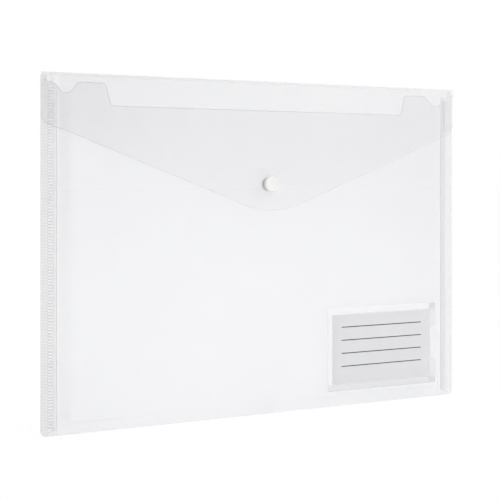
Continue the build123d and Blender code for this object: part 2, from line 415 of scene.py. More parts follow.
def thicken(sheet, thickness, cut_edge):
    """Give a sheet its thickness behind its face, with rounded cut edges in the second material."""
    wall = sheet.modifiers.new("thickness", "SOLIDIFY")
    wall.thickness = thickness
    wall.offset = -1
    wall.use_even_offset = True
    wall.material_offset_rim = 1
    soften(sheet, "cut edge", cut_edge).material = 1
    apply_all(sheet)


def run_on(piece, reach=0.001):
    """Film in place of the cut edge along the fold, where the sheet runs on."""
    for face in piece.data.polygons:
        if face.material_index == 1 and face.center.z > FOLD - reach:
            face.material_index = 0


def dress(piece, body, slot, *nodes):
    """Smooth a piece, give it its body and hide the solids that it stands for; its slot is not used."""
    choose(piece)
    bpy.ops.object.shade_smooth_by_angle(angle=SMOOTH_ANGLE)
    if body:
        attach(piece, body)
    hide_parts(*nodes)


def join(name, *pieces):
    """Join pieces into the first one."""
    bpy.ops.object.select_all(action="DESELECT")
    for piece in pieces:
        piece.select_set(True)
    bpy.context.view_layer.objects.active = pieces[0]
    bpy.ops.object.join()
    pieces[0].name = name
    return pieces[0]


def traced(line, surface, step=0.004):
    """Points of a flat line given as (x, z), closely spaced and laid half way into a film."""
    places = []
    for start, end in zip(line, line[1:]):
        count = max(1, math.ceil((end - start).length / step))
        places += [start.lerp(end, index / count) for index in range(count)]
    return [(x, surface(x, z) + FILM / 2, z) for x, z in [*places, line[-1]]]


def edge_bead(points, radius, material):
    """Thin rounded bead along a cut edge."""
    line = bpy.data.curves.new("edge bead", "CURVE")
    line.dimensions = "3D"
    line.bevel_depth = radius
    line.bevel_resolution = 1
    line.use_fill_caps = True
    run = line.splines.new("POLY")
    run.points.add(len(points) - 1)
    for point, place in zip(run.points, points):
        point.co = (*place, 1)
    bead = bpy.data.objects.new("edge bead", line)
    bpy.context.collection.objects.link(bead)
    choose(bead)
    bpy.ops.object.convert(target="MESH")
    coat(bead, material)
    return bead


def moulding(name, radius, height, edge, steps):
    """Round moulded disc that stands on z = 0: a rounded edge, then insets and raises of its face."""
    bpy.ops.object.select_all(action="DESELECT")
    bpy.ops.mesh.primitive_cylinder_add(
        vertices=72, radius=radius, depth=height, location=(0, 0, height / 2)
    )
    disc = bpy.context.object
    disc.name = name
    bpy.ops.object.transform_apply()
    bpy.ops.object.mode_set(mode="EDIT")
    pick_faces(disc, lambda place, normal: normal.z > 0.5)
    bpy.ops.mesh.inset(thickness=edge * 1.1, depth=0)
    for inset, rise, straight in steps:
        bpy.ops.mesh.inset(thickness=inset, depth=0)
        if straight:
            bpy.ops.mesh.extrude_region_move(TRANSFORM_OT_translate={"value": (0, 0, rise)})
        else:
            bpy.ops.transform.translate(value=(0, 0, rise))
    pick_edges(disc, lambda place: abs(place.z - height) < TINY and place.xy.length > radius * 0.99)
    bpy.ops.mesh.bevel(offset=edge, segments=5, affect="EDGES")
    bpy.ops.object.mode_set(mode="OBJECT")
    return disc


def stand(disc, place, outward):
    """Stand a disc on a place, facing outwards."""
    disc.rotation_euler = Vector(outward).to_track_quat("Z", "Y").to_euler()
    disc.location = place
    choose(disc)
    bpy.ops.object.transform_apply()


# Materials


def socket_group(name, inputs, outputs):
    """New node group with float inputs and outputs; returns it with its two end nodes."""
    group = bpy.data.node_groups.new(name, "ShaderNodeTree")
    for label, value in inputs.items():
        socket = group.interface.new_socket(name=label, in_out="INPUT", socket_type="NodeSocketFloat")
        socket.default_value = value
    for label in outputs:
        group.interface.new_socket(name=label, in_out="OUTPUT", socket_type="NodeSocketFloat")
    start = group.nodes.new("NodeGroupInput")
    end = group.nodes.new("NodeGroupOutput")
    return group, start, end


def node(tree, kind, **inputs):
    """New node with values or links set on its named or numbered inputs."""
    made = tree.nodes.new(kind)
    for label, value in inputs.items():
        key = int(label[1:]) if label[0] == "_" else label.replace("_", " ")
        if isinstance(value, bpy.types.NodeSocket):
            tree.links.new(value, made.inputs[key])
        else:
            made.inputs[key].default_value = value
    return made


def calculate(tree, operation, first, second=0.0):
    """Math node, whose second value some operations leave unused."""
    made = node(tree, "ShaderNodeMath", _0=first, _1=second)
    made.operation = operation
    return made.outputs[0]


def spread(tree, value, low, high, to_low, to_high):
    """Smooth map of a value from one range to another."""
    made = node(
        tree,
        "ShaderNodeMapRange",
        Value=value,
        From_Min=low,
        From_Max=high,
        To_Min=to_low,
        To_Max=to_high,
    )
    made.interpolation_type = "SMOOTHSTEP"
    return made.outputs[0]


def object_place(tree):
    """Place on a piece, whole and as its X, Y and Z."""
    place = tree.nodes.new("ShaderNodeTexCoord").outputs["Object"]
    return place, node(tree, "ShaderNodeSeparateXYZ", Vector=place).outputs


def film_haze_and_shade_group():
    """Haze of clear film, cloudy at random, with painted shade that makes it denser to the sides, upwards,
    at the foot and at its lower left corner.

    The hood is what the closed flap covers, and the margin is the left one beside the weld's ribs.
    The left input leans the haze from one side to the other, and the tone darkens a colour to the left;
    where they darken the left side, they are painted shade of the studio's dark left side.
    """
    changes = ("Sides", "Top", "Foot", "Corner", "Rise", "Hood", "Margin", "Left", "Shade")
    group, start, end = socket_group(
        "film haze and shade", {"Haze": 0.1, "Cloud": 0.1, **dict.fromkeys(changes, 0.0)}, ("Alpha", "Height", "Tone")
    )
    place, parts = object_place(group)
    across, up = parts["X"], parts["Z"]
    away = calculate(group, "ABSOLUTE", across)
    clouds = node(group, "ShaderNodeTexNoise", Vector=place, Scale=14.0, Detail=3.0).outputs["Fac"]
    gain = calculate(group, "MULTIPLY", calculate(group, "SUBTRACT", clouds, 0.5), start.outputs["Cloud"])
    near_left = spread(group, across, -0.155, -0.08, 1.0, 0.0)
    near_foot = spread(group, up, 0.0, 0.06, 1.0, 0.0)
    off_ribs = calculate(group, "ABSOLUTE", calculate(group, "SUBTRACT", away, RIB_MIDDLE))
    beside_ribs = spread(group, off_ribs, 0.0012, 0.0022, 0.0, 1.0)
    on_left_weld = spread(group, across, -0.1535, -0.1525, 1.0, 0.0)
    above_middle = calculate(group, "SUBTRACT", up, 0.14)
    masks = {
        "Sides": spread(group, away, 0.04, 0.15, 0.0, 1.0),
        "Top": spread(group, up, 0.08, 0.19, 0.0, 1.0),
        "Foot": spread(group, up, 0.0, 0.025, 1.0, 0.0),
        "Corner": calculate(group, "MULTIPLY", near_left, near_foot),
        "Rise": calculate(group, "MULTIPLY", above_middle, 10.0),
        "Hood": spread(group, up, *HOOD, 0.0, 1.0),
        "Margin": calculate(group, "MULTIPLY", beside_ribs, on_left_weld),
    }
    for label, mask in masks.items():
        gain = calculate(group, "ADD", gain, calculate(group, "MULTIPLY", mask, start.outputs[label]))
    share = calculate(group, "DIVIDE", across, HALF_WIDTH)
    lean = calculate(group, "SUBTRACT", 1.0, calculate(group, "MULTIPLY", share, start.outputs["Left"]))
    gain = calculate(group, "MULTIPLY", calculate(group, "ADD", gain, 1.0), lean)
    group.links.new(calculate(group, "MULTIPLY", gain, start.outputs["Haze"]), end.inputs["Alpha"])
    shade = calculate(group, "MULTIPLY", share, start.outputs["Shade"])
    group.links.new(calculate(group, "ADD", shade, 1.0), end.inputs["Tone"])
    grain = node(group, "ShaderNodeTexNoise", Vector=place, Scale=160.0, Detail=1.0).outputs["Fac"]
    group.links.new(grain, end.inputs["Height"])
    return group


def grain_group():
    """Fine grain of moulded plastic or paper, as a height and a small change of tone."""
    group, start, end = socket_group("fine grain", {"Scale": 1500.0, "Tone": 0.04}, ("Height", "Tone"))
    place = group.nodes.new("ShaderNodeTexCoord").outputs["Object"]
    fine = node(group, "ShaderNodeTexNoise", Vector=place, Scale=start.outputs["Scale"], Detail=4.0)
    broad = node(group, "ShaderNodeTexNoise", Vector=place, Scale=60.0, Detail=2.0)
    mixed = calculate(group, "ADD", fine.outputs["Fac"], broad.outputs["Fac"])
    swing = calculate(group, "MULTIPLY", calculate(group, "SUBTRACT", mixed, 1.0), start.outputs["Tone"])
    group.links.new(calculate(group, "ADD", swing, 1.0), end.inputs["Tone"])
    group.links.new(fine.outputs["Fac"], end.inputs["Height"])
    return group


def shared(name, maker):
    """A node group by name, made on first use."""
    return bpy.data.node_groups.get(name) or maker()


def new_material(name):
    """New material with its tree and Principled node."""
    material = bpy.data.materials.new(name)
    material.use_nodes = True
    tree = material.node_tree
    return material, tree, tree.nodes["Principled BSDF"]


def place_group(tree, group, **inputs):
    """Node that uses a group with its own values."""
    made = tree.nodes.new("ShaderNodeGroup")
    made.node_tree = group
    for label, value in inputs.items():
        made.inputs[label].default_value = value
    return made


def bump(tree, shader, height, strength, distance):
    """Fine relief on a shader."""
    made = node(tree, "ShaderNodeBump", Height=height, Strength=strength, Distance=distance)
    tree.links.new(made.outputs["Normal"], shader.inputs["Normal"])


def tinted(tree, colour, tone):
    """A colour scaled by a tone that changes over the surface."""
    made = tree.nodes.new("ShaderNodeVectorMath")
    made.operation = "SCALE"
    made.inputs[0].default_value = colour
    tree.links.new(tone, made.inputs["Scale"])
    return made.outputs[0]


def film_material(name, colour, roughness=0.25, **haze):
    """Clear film whose haze, with its painted shade, changes over the sheet, made on first use."""
    if name in bpy.data.materials:
        return bpy.data.materials[name]
    material, tree, shader = new_material(name)
    film = place_group(tree, shared("film haze and shade", film_haze_and_shade_group), **haze)
    if "Shade" in haze:
        tree.links.new(tinted(tree, colour, film.outputs["Tone"]), shader.inputs["Base Color"])
    else:
        shader.inputs["Base Color"].default_value = (*colour, 1)
    shader.inputs["Roughness"].default_value = roughness
    shader.inputs["IOR"].default_value = PLASTIC_IOR
    tree.links.new(film.outputs["Alpha"], shader.inputs["Alpha"])
    bump(tree, shader, film.outputs["Height"], strength=0.04, distance=0.0001)
    return material


def pouch_film(colours):
    """Film of the back and front sheets, with painted shade that makes it a little denser to the sides, the
    mouth and the lower left.
    """
    return film_material(
        "pouch film",
        colours.film,
        Haze=0.124,
        Cloud=0.25,
        Sides=0.24,
        Top=0.32,
        Foot=0.10,
        Corner=0.20,
        Left=-0.08,
    )


def cut_film(colours):
    """Cut edge of the film: a thin line painted dark as the shade of its rounded edge, a little darker on
    the left as painted shade.
    """
    return film_material("cut edge", colours.line, Haze=0.2, Cloud=0.3, Left=0.2)


def solid_material(name, colour, roughness, scale, tone, relief, depth):
    """Opaque moulded plastic, card or ink with a fine grain."""
    material, tree, shader = new_material(name)
    grain = place_group(tree, shared("fine grain", grain_group), Scale=scale, Tone=tone)
    tree.links.new(tinted(tree, colour, grain.outputs["Tone"]), shader.inputs["Base Color"])
    shader.inputs["Roughness"].default_value = roughness
    shader.inputs["IOR"].default_value = PLASTIC_IOR
    bump(tree, shader, grain.outputs["Height"], relief, depth)
    return material


def rib_fade_group():
    """Strength of the rib pattern, the ribs' painted shade and the weld's clear dashes: grows away from the
    middle, and weak on the right below the flap.
    """
    group, start, end = socket_group(
        "rib fade", {"Near": 0.155, "Far": 0.16, "Weak": 0.0, "Strong": 0.3, "Right": 0.3}, ("Fade",)
    )
    _, parts = object_place(group)
    away = calculate(group, "ABSOLUTE", parts["X"])
    fade = spread(group, away, *[start.outputs[label] for label in ("Near", "Far", "Weak", "Strong")])
    lean = spread(group, parts["X"], -0.1, 0.1, 1.0, start.outputs["Right"])
    lean = calculate(group, "MAXIMUM", lean, spread(group, parts["Z"], *HOOD, 0.0, 1.0))
    group.links.new(calculate(group, "MULTIPLY", fade, lean), end.inputs["Fade"])
    return group


def rib_material(name, colour, **fade):
    """Pressed rib painted dark as the shadowed side of its relief: painted shade that fades across the weld
    and to the right.
    """
    material, tree, shader = new_material(name)
    strength = place_group(tree, shared("rib fade", rib_fade_group), **fade)
    grain = place_group(tree, shared("fine grain", grain_group), Scale=300.0, Tone=0.3)
    alpha = calculate(tree, "MULTIPLY", strength.outputs["Fade"], grain.outputs["Tone"])
    tree.links.new(alpha, shader.inputs["Alpha"])
    shader.inputs["Base Color"].default_value = (*colour, 1)
    shader.inputs["Roughness"].default_value = 0.4
    shader.inputs["IOR"].default_value = PLASTIC_IOR
    return material


def weld_material(name, colour, pitch, **haze):
    """Milky film of a weld, with the painted shade that it is given, pressed clear in short dashes between
    its inner ribs.
    """
    material = film_material(name, colour, **haze)
    tree = material.node_tree
    shader = tree.nodes["Principled BSDF"]
    milky_and_shaded = shader.inputs["Alpha"].links[0].from_socket
    _, parts = object_place(tree)
    turns = calculate(tree, "DIVIDE", calculate(tree, "SUBTRACT", parts["Z"], FIRST_RIB), pitch)
    between = calculate(tree, "GREATER_THAN", calculate(tree, "FRACT", turns), RIB_SHARE)
    away = calculate(tree, "ABSOLUTE", parts["X"])
    near, far = INNER_RIBS
    dashes = calculate(tree, "MULTIPLY", between, calculate(tree, "LESS_THAN", away, far))
    strength = shared("rib fade", rib_fade_group)
    fade = place_group(tree, strength, Near=near, Far=far - 0.001, Weak=0.0, Strong=0.55, Right=0.1)
    clear = calculate(tree, "MULTIPLY", dashes, fade.outputs["Fade"])
    alpha = calculate(tree, "MULTIPLY", milky_and_shaded, calculate(tree, "SUBTRACT", 1.0, clear))
    tree.links.new(alpha, shader.inputs["Alpha"])
    return material


# Pieces


class WALLET_OT_back_sheet(Operator):
    """Flat back film, as wide as the wallet, up to the top fold"""

    bl_idname = "wallet.back_sheet"
    bl_label = "Back sheet"

    def execute(self, context):
        sizes, colours = wallet_settings(context)
        sheet = flat_sheet("back_sheet", (-HALF_WIDTH, 0), (HALF_WIDTH, FOLD), columns=30, rows=20)
        line = rounded(
            [
                (-HALF_WIDTH, FOLD, 0),
                (-HALF_WIDTH, 0, sizes.corner),
                (HALF_WIDTH, 0, sizes.corner),
                (HALF_WIDTH, FOLD, 0),
            ]
        )
        trim(sheet, line[1:-1], ACROSS, outward=-1)
        lay(sheet, lambda x, z: BACK - FILM)
        coat(sheet, pouch_film(colours), cut_film(colours))
        thicken(sheet, FILM, sizes.cut_edge)
        run_on(sheet)
        dress(sheet, "pouch", "film", "back_panel")
        return {"FINISHED"}


class WALLET_OT_front_sheet(Operator):
    """Front film, sprung forwards over the pouch and cut to its ears, notches and recess"""

    bl_idname = "wallet.front_sheet"
    bl_label = "Front sheet"

    def execute(self, context):
        sizes, colours = wallet_settings(context)
        top = MOUTH_HIGH.z
        sheet = flat_sheet("front_sheet", (-SEAM_LINE, 0), (SEAM_LINE, top), columns=44, rows=34)
        shares = [step / 9 for step in range(1, 10)]
        steps = [sizes.ramp * share for share in shares]
        score(sheet, ACROSS, [SEAM_LINE - step for step in steps] + [step - SEAM_LINE for step in steps])
        score(sheet, UP, [sizes.foot_ramp * share for share in shares])
        recess, left_notch, right_notch, right_corner = 0.2185, 0.2264, 0.2266, 0.2290
        wide, middling, tight = 0.0035, 0.003, 0.0018
        left = [
            (-SEAM_LINE, MOUTH_CORNER, 0),
            (-0.1508, left_notch, tight),
            (-0.1462, left_notch, wide),
            (-0.1400, top, wide),
            (-0.1216, top, 0.0025),
            (-0.1180, recess, middling),
        ]
        right = [
            (0.1144, recess, middling),
            (0.1180, top, wide),
            (0.1372, top, wide),
            (0.1440, right_notch, wide),
            (0.1515, right_notch, tight),
            (SEAM_LINE, right_corner, 0),
        ]
        line = rounded(left + right)
        trim(sheet, line, ACROSS, outward=1)
        roof = SEAM_FACE - FRONT_FACE
        mouth_lean, curl = 0.003, 2.5

        def surface(x, z):
            lean = mouth_lean * max((z - SHOULDER) / (top - SHOULDER), 0) ** curl
            side = ease((SEAM_LINE - abs(x)) / sizes.ramp)
            return SEAM_FACE - (roof - lean) * side * ease(z / sizes.foot_ramp)

        lay(sheet, surface)
        coat(sheet, pouch_film(colours), cut_film(colours))
        thicken(sheet, FILM, sizes.cut_edge)
        # The mouth's edge bead is painted dark as the shade of its rounded cut edge, and darker to the left
        # as painted shade.
        mouth_line = film_material("mouth line", colours.line, Haze=0.27, Cloud=0.4, Left=0.35)
        bead = edge_bead(traced(line, surface), sizes.bead, mouth_line)
        sheet = join("front_sheet", sheet, bead)
        dress(sheet, "pouch", "film", "front_panel", "pouch_mouth")
        return {"FINISHED"}


class WALLET_OT_weld_strips(Operator):
    """Welded side strips with two columns of pressed ribs, and fine lines beside and between them"""

    bl_idname = "wallet.weld_strips"
    bl_label = "Weld strips"

    def rib_column(self, sizes, side, span, first, last, material):
        """One rib with a bevelled face, repeated up the strip."""
        left, right = sorted(side * place for place in span)
        low = (left, SEAM_FACE - sizes.rib_height, first)
        high = (right, SEAM_FACE + FILM / 2, first + sizes.rib_pitch * RIB_SHARE)
        rib = block("rib", low, high)
        chamfer_front(rib, sizes.rib_height * 0.4, segments=1)
        coat(rib, material)
        row = rib.modifiers.new("row", "ARRAY")
        row.count = int((last - first) / sizes.rib_pitch)
        row.use_relative_offset = False
        row.use_constant_offset = True
        row.constant_offset_displace = (0, 0, sizes.rib_pitch)
        apply_all(rib)
        return rib

    def execute(self, context):
        sizes, colours = wallet_settings(context)
        # The weld's milky haze, with painted shade that darkens the left strip: denser and a darker tone to
        # the left.
        milky_and_shaded = {"Haze": 0.37, "Cloud": 0.15, "Rise": -0.03, "Left": 0.15, "Shade": 0.03}
        strip_film = weld_material("weld film", colours.weld, sizes.rib_pitch, **milky_and_shaded)
        cut = cut_film(colours)
        # Both rib columns are painted dark as the shadowed sides of the pressed ribs: faint painted shade on
        # the outer ones, stronger on the inner ones.
        faint = rib_material("outer rib shadow", colours.line, Weak=0.06, Strong=0.06, Right=0.3)
        dark = rib_material(
            "rib shadow", colours.rib, Near=0.1545, Far=0.1596, Weak=0.0, Strong=0.29, Right=0.15
        )
        band = film_material("weld band", colours.film, Haze=0.14, Cloud=0.1, Left=-0.95)
        ridge = film_material("weld line", colours.film, Haze=0.28, Cloud=0.1, Hood=-0.8)
        crease = film_material("column line", colours.line, Haze=0.03, Cloud=0.1, Left=0.95)
        seam_ridge = (SEAM_LINE, SEAM_LINE + 0.0005)
        strip_top, right_head = FOLD - 0.0004, 0.2335
        bar_foot, ridge_top, band_top = 0.004, 0.2305, 0.2320
        for side, name in ((-1, "left"), (1, "right")):
            low, high = sorted((side * HALF_WIDTH, side * SEAM_LINE))
            strip = flat_sheet(name + "_weld_strip", (low, 0), (high, FOLD), columns=6, rows=60)
            head = [
                (-HALF_WIDTH, strip_top, 0),
                (-0.1606, strip_top, 0),
                (-0.1604, SEAM_TOP, 0),
                (-0.1572, SEAM_TOP, 0.002),
                (-SEAM_LINE, MOUTH_CORNER, 0),
            ]
            foot = [(-HALF_WIDTH, SEAM_TOP, 0), (-HALF_WIDTH, 0, sizes.corner), (-SEAM_LINE, 0, 0)]
            if side > 0:
                head = [(-x, z, radius) for x, z, radius in reversed(head)]
                head[0] = (SEAM_LINE, right_head, 0)
                foot = [(-x, z, radius) for x, z, radius in reversed(foot)]
            upper, lower = rounded(head), rounded(foot)
            trim(strip, upper, ACROSS, outward=1)
            trim(strip, lower[1:] if side < 0 else lower[:-1], ACROSS, outward=-1)
            lay(strip, lambda x, z: SEAM_FACE)
            coat(strip, strip_film, cut)
            thicken(strip, FILM - GAP, sizes.cut_edge)
            run_on(strip)
            parts = [strip]
            for span, first, last, material in (
                (OUTER_RIBS, bar_foot, FOLD - 0.001, faint),
                (INNER_RIBS, FIRST_RIB, SEAM_TOP - 0.001, dark),
            ):
                parts.append(self.rib_column(sizes, side, span, first, last, material))
            for span, rise, top, material in (
                (seam_ridge, 0.0002, ridge_top, ridge),
                (INNER_BAND, 0.00005, band_top, band),
                (COLUMN_LINE, 0.00018, band_top, crease),
            ):
                left, right = sorted(side * place for place in span)
                bar = block("bar", (left, SEAM_FACE - rise, bar_foot), (right, SEAM_FACE + FILM / 3, top))
                chamfer_front(bar, rise * 0.6, segments=2)
                coat(bar, material)
                parts.append(bar)
            head_end = 0.1605
            rim = [point for point in upper if SEAM_LINE - TINY < abs(point.x) < head_end]
            slant = [Vector((side * 0.1608, 0.0016)), Vector((side * 0.1548, FIRST_RIB))]
            for edge in (rim, slant):
                parts.append(edge_bead(traced(edge, lambda x, z: SEAM_FACE), sizes.bead, cut))
            strip = join(name + "_weld_strip", *parts)
            dress(strip, "pouch", "seam", name + "_side_seam")
        return {"FINISHED"}


class WALLET_OT_fold_strip(Operator):
    """Top fold: the strip of film that rolls from the back to the flap"""

    bl_idname = "wallet.fold_strip"
    bl_label = "Fold strip"

    def execute(self, context):
        sizes, colours = wallet_settings(context)
        start = 0.001
        strip = flat_sheet("fold_strip", (-FLAP_REACH, FOLD), (FLAP_REACH, FOLD + start), columns=60, rows=1)
        bpy.ops.object.mode_set(mode="EDIT")
        pick_edges(strip, lambda place: place.z > FOLD + start / 2)
        bpy.ops.mesh.delete(type="VERT")
        bpy.ops.mesh.select_all(action="SELECT")
        bpy.ops.transform.translate(value=(0, BACK, 0))
        bpy.ops.mesh.select_all(action="SELECT")
        bpy.ops.mesh.spin(steps=18, angle=math.pi, center=HINGE, axis=(-1, 0, 0))
        bpy.ops.mesh.select_all(action="SELECT")
        bpy.ops.mesh.remove_doubles(threshold=10 * TINY)
        bpy.ops.object.mode_set(mode="OBJECT")
        face = strip.data.polygons[0]
        if face.normal.dot(face.center - Vector((face.center.x, HINGE.y, HINGE.z))) < 0:
            strip.data.flip_normals()
        if max(vertex.co.z for vertex in strip.data.vertices) < FOLD + start:
            raise RuntimeError("the fold turned downwards")
        # The fold's film is made denser as painted shade of the curved fold, seen at a slant, and a little
        # darker to the left as painted shade.
        film = film_material("fold film", colours.weld, Haze=0.33, Cloud=0.1, Left=0.12)
        coat(strip, film, cut_film(colours))
        thicken(strip, FILM, sizes.cut_edge)
        run_on(strip)
        dress(strip, None, "film", "fold_hinge")
        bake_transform(strip)
        return {"FINISHED"}


class WALLET_OT_flap_sheet(Operator):
    """Flap: leaning film with a V-shaped edge, whose side margins settle onto the welds"""

    bl_idname = "wallet.flap_sheet"
    bl_label = "Flap sheet"

    def execute(self, context):
        sizes, colours = wallet_settings(context)
        half = FLAP_REACH
        sharp_tip, tip_radius, side_radius = 0.1427, 0.062, 0.008
        sheet = flat_sheet("flap_sheet", (-half, sharp_tip), (half, FOLD), columns=60, rows=36)
        margin = [sizes.flap_settle * step / 8 for step in range(1, 9)]
        score(sheet, ACROSS, [half - step for step in margin] + [step - half for step in margin])
        corners = [
            (-half, FOLD, 0),
            (-half, FLAP_SIDE, side_radius),
            (0, sharp_tip, tip_radius),
            (half, FLAP_SIDE, side_radius),
            (half, FOLD, 0),
        ]
        line = rounded(corners, 9)
        trim(sheet, line[1:-1], ACROSS, outward=-1)
        bend_start = FOLD_HIGH.z - sizes.snap_drop - 0.008
        bend, settle_drop = 0.016, 0.012
        margin_face = SEAM_FACE - 0.0011

        def surface(x, z):
            plane = FLAP_ROOT - (FOLD - z) * FLAP_LEAN
            settle = ease((abs(x) - half + sizes.flap_settle) / sizes.flap_settle)
            settle *= ease((FOLD - z) / settle_drop)
            plane += (margin_face - plane) * settle
            return plane + sizes.tip_fall * ease((bend_start - z) / bend)

        lay(sheet, surface)
        # Painted shade: the flap's haze thickens to its sides, upwards and to the left; it is thinned along
        # the left margin beside the ribs.
        film = film_material(
            "flap film", colours.flap, Haze=0.042, Cloud=0.15, Sides=0.25, Rise=2.6, Margin=-1.4, Left=0.38
        )
        coat(sheet, film, cut_film(colours))
        thicken(sheet, FILM, sizes.cut_edge)
        run_on(sheet)
        edge_top = FLAP_SIDE + 0.006
        edge = [point for point in line if point.y < edge_top]
        # The bead along the flap's V edge is painted dark as the shade of its rounded cut edge, darker
        # upwards and to the left as painted shade.
        edge_line = film_material("flap line", colours.line, Haze=0.05, Cloud=0.4, Rise=2.6, Left=0.35)
        bead = edge_bead(traced(edge, surface), sizes.bead, edge_line)
        sheet = join("flap_sheet", sheet, bead)
        dress(sheet, "flap", "film", "flap")
        return {"FINISHED"}


class WALLET_OT_snap(Operator):
    """Moulded snap: a dished cap outside the flap, its socket inside, and a stud with its backing"""

    bl_idname = "wallet.snap"
    bl_label = "Snap"

    def execute(self, context):
        sizes, colours = wallet_settings(context)
        moulded = {"roughness": 0.35, "scale": 1800.0, "tone": 0.03, "relief": 0.15, "depth": 0.00004}
        shell = solid_material("snap cap plastic", colours.snap, **moulded)
        # The socket, stud and backing are painted darker than the cap as painted shade of their sides.
        inner = solid_material("shaded snap body plastic", colours.socket, **moulded)
        lean = math.atan(FLAP_LEAN)
        height = FOLD_HIGH.z - sizes.snap_drop
        inside = Vector((0, FLAP_ROOT + FILM * math.cos(lean) - (FOLD - height) * FLAP_LEAN, height))
        outward = Vector((0, -math.cos(lean), math.sin(lean)))
        front = Vector((0, FRONT_FACE, (STUD_LOW.z + STUD_HIGH.z) / 2))
        behind = front + Vector((0, FILM, 0))
        dish = ((0.0005, -0.00012, False), (0.0022, -0.00006, False), (0.0008, -0.0001, False))
        cup = ((0.0015, -0.0018, True),)
        nub = ((0.0019, 0.0012, True), (0.0003, 0.0002, False))
        boss = ((0.0018, 0.00015, False),)
        for name, radius, depth, edge, steps, place, way, body in (
            ("snap_cap", sizes.snap_radius, 0.0019, 0.0008, dish, inside + outward * FILM, outward, "flap"),
            ("snap_socket", sizes.socket_radius, 0.0026, 0.0004, cup, inside, -outward, "flap"),
            ("snap_stud", sizes.socket_radius, 0.0007, 0.0003, nub, front, Vector((0, -1, 0)), "pouch"),
            ("snap_backing", sizes.socket_radius, 0.0008, 0.0003, boss, behind, Vector((0, 1, 0)), "pouch"),
        ):
            disc = moulding(name + "_moulding", radius, depth, edge, steps)
            stand(disc, place, way)
            coat(disc, shell if name == "snap_cap" else inner)
            dress(disc, body, "snap", name)
        return {"FINISHED"}


class WALLET_OT_label_pocket(Operator):
    """Label pocket: a clear cover with a thumb notch, fused down along a pale border"""

    bl_idname = "wallet.label_pocket"
    bl_label = "Label pocket"

    def execute(self, context):
        sizes, colours = wallet_settings(context)
        low, high = (BORDER_LOW.x, BORDER_LOW.z), (BORDER_HIGH.x, BORDER_HIGH.z)
        border_left, border_foot, border_top, notch_depth = 0.0038, 0.0044, 0.005, 0.0052
        border_film, cover_film, trimmed = 0.0004, 0.00025, 0.0001
        left, foot, top = low[0] + border_left, low[1] + border_foot, high[1] - border_top
        deep = high[0] - notch_depth
        border_face = FRONT_FACE - border_film
        cut = cut_film(colours)
        border = flat_sheet("pocket_border", low, high, columns=30, rows=20)
        score(border, ACROSS, [left, deep])
        score(border, UP, [foot, top])
        bpy.ops.object.mode_set(mode="EDIT")
        pick_faces(border, lambda place, _: place.x > left and foot < place.z < top)
        bpy.ops.mesh.delete(type="FACE")
        bpy.ops.object.mode_set(mode="OBJECT")
        lay(border, lambda x, z: border_face)
        fused = film_material("pocket border", colours.border, roughness=0.4, Haze=0.35, Cloud=0.1)
        hem = film_material("pocket hem", colours.lip, roughness=0.4, Haze=0.42, Cloud=0.1)
        coat(border, fused, fused, hem)
        for face in border.data.polygons:
            face.material_index = 2 if face.center.z < foot or face.center.x > deep else 0
        thicken(border, border_film - GAP, trimmed)
        sill = [Vector(low), Vector((high[0], low[1]))]
        bead = edge_bead(traced(sill, lambda x, z: border_face), sizes.bead, cut)
        border = join("pocket_border", border, bead)
        dress(border, "pouch", "pocket_weld", "label_pocket_weld")

        cover = flat_sheet("pocket_cover", low, high, columns=38, rows=24)
        notch_low, notch_high, inner_radius, outer_radius = 0.0300, 0.0565, 0.0025, 0.001
        line = rounded(
            [
                (low[1], high[0], 0),
                (notch_low, high[0], outer_radius),
                (notch_low, deep, inner_radius),
                (notch_high, deep, inner_radius),
                (notch_high, high[0], outer_radius),
                (high[1], high[0], 0),
            ]
        )
        near = [0.001 * step for step in range(1, 8)]
        score(cover, ACROSS, [low[0] + step for step in near] + [deep])
        score(cover, UP, [low[1] + step for step in near] + [high[1] - step for step in near])
        trim(cover, line, UP, outward=1)
        flat = border_face - cover_film
        rise = 0.0022

        def surface(x, z):
            inside = min(x - left, z - foot, top - z) / rise + 1
            return flat + (COVER_FACE - flat) * ease(inside)

        lay(cover, surface)
        clear = film_material("pocket film", colours.film, roughness=0.15, Haze=0.03, Cloud=0.3)
        # The lip's grey haze is partly its two films over the front sheet and partly painted shadow.
        lip = film_material("pocket lip", colours.lip, roughness=0.2, Haze=0.34, Cloud=0.1)
        coat(cover, clear, clear, lip)
        for face in cover.data.polygons:
            face.material_index = 2 if face.center.x > deep else 0
        thicken(cover, cover_film - GAP, trimmed)
        mouth = [Vector((x, z)) for z, x in line]
        fine_bead = sizes.bead * 0.7
        bead = edge_bead(traced(mouth, surface), fine_bead, cut)
        cover = join("pocket_cover", cover, bead)
        dress(cover, "pouch", "pocket_film", "label_pocket_film")
        return {"FINISHED"}


